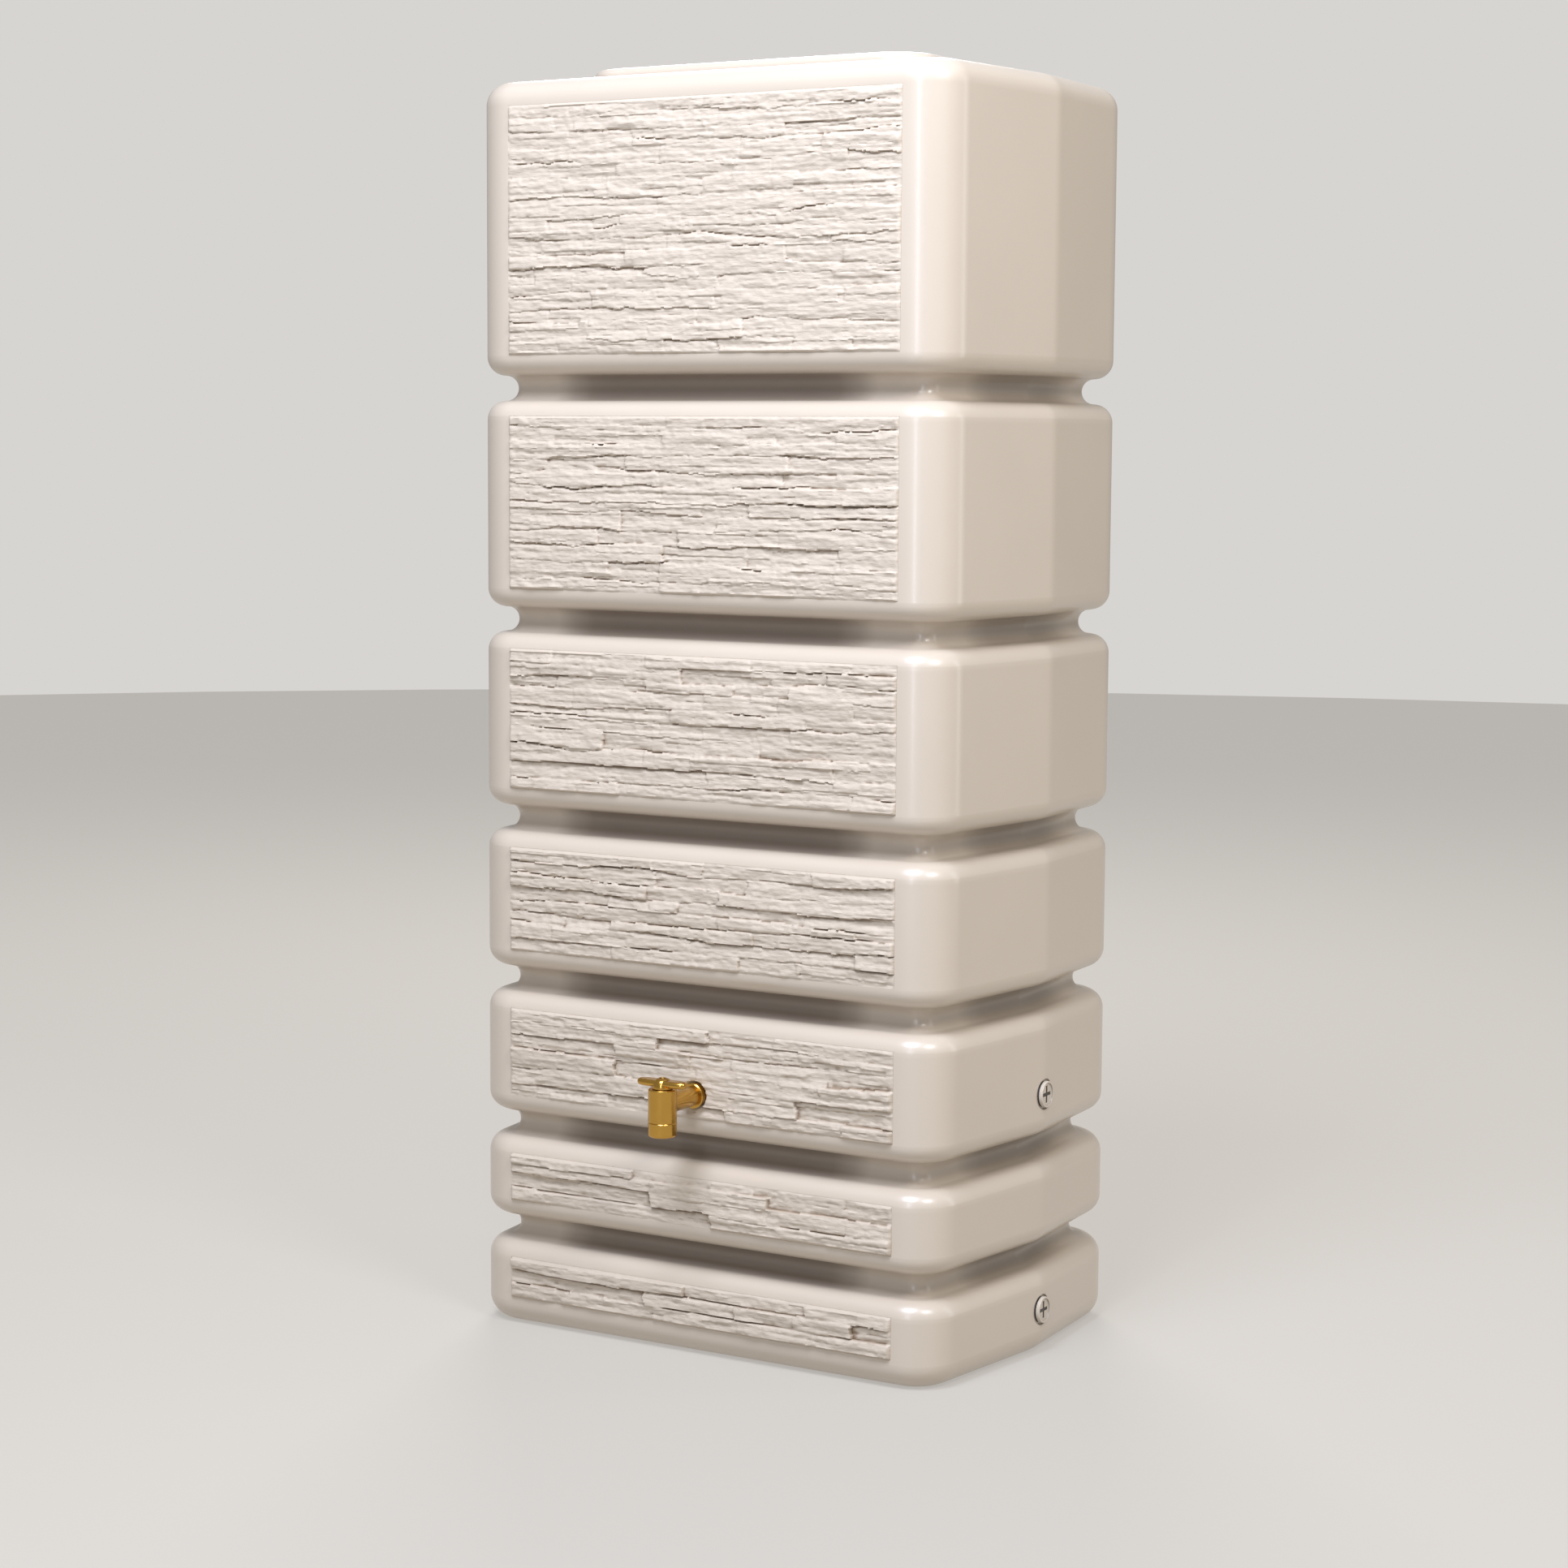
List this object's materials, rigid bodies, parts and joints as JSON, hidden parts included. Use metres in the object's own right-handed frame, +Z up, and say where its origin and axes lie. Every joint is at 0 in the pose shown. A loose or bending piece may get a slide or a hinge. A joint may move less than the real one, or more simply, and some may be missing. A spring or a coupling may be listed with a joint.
{
  "type": "rainwater tank",
  "caption": "Column rainwater tank in stacked bands with a moulded ledge-stone front, a lift-off lid, a bib tap and plugged side outlets.",
  "frame": {"origin": "middle of the foot, on the floor", "axes": "+Z up the tank, -Y out of the stone front where the tap is, +X to the side with the plugs"},
  "size_m": [0.6238, 0.488, 1.36],
  "materials": {
    "tank_plastic": "satin moulded polyethylene, cream to sand",
    "lid_plastic": "satin moulded polyethylene, cream",
    "plug_plastic": "satin moulded plastic",
    "tap_brass": "polished, golden",
    "inner_brass": "plain turned",
    "screw_steel": "bright zinc",
    "seal_rubber": "black, matt"
  },
  "bodies": {
    "root": {"tank_body": "tank_plastic", "lid": "lid_plastic", "tap_body": "tap_brass", "tap_seal_outer": "seal_rubber", "tap_seal_inner": "seal_rubber", "tap_back_nut": "inner_brass", "gland_nut": "tap_brass", "outlet_nozzle": "tap_brass", "nozzle_washer": "seal_rubber", "side_plug_upper": "plug_plastic", "side_seal_upper": "seal_rubber", "side_bush_upper": "inner_brass", "side_plug_lower": "plug_plastic", "side_seal_lower": "seal_rubber", "side_bush_lower": "inner_brass"},
    "handle": {"valve_plug": "inner_brass", "plug_o_ring_upper": "seal_rubber", "plug_o_ring_lower": "seal_rubber", "tap_handle": "tap_brass", "handle_screw": "screw_steel"}
  },
  "joints": [
    {"name": "tap_turn", "type": "hinge", "parent": "root", "child": "handle", "pos_m": [0, -0.268, 0.3], "axis": [0, 0, 1], "range_deg": [0, 90]}
  ]
}
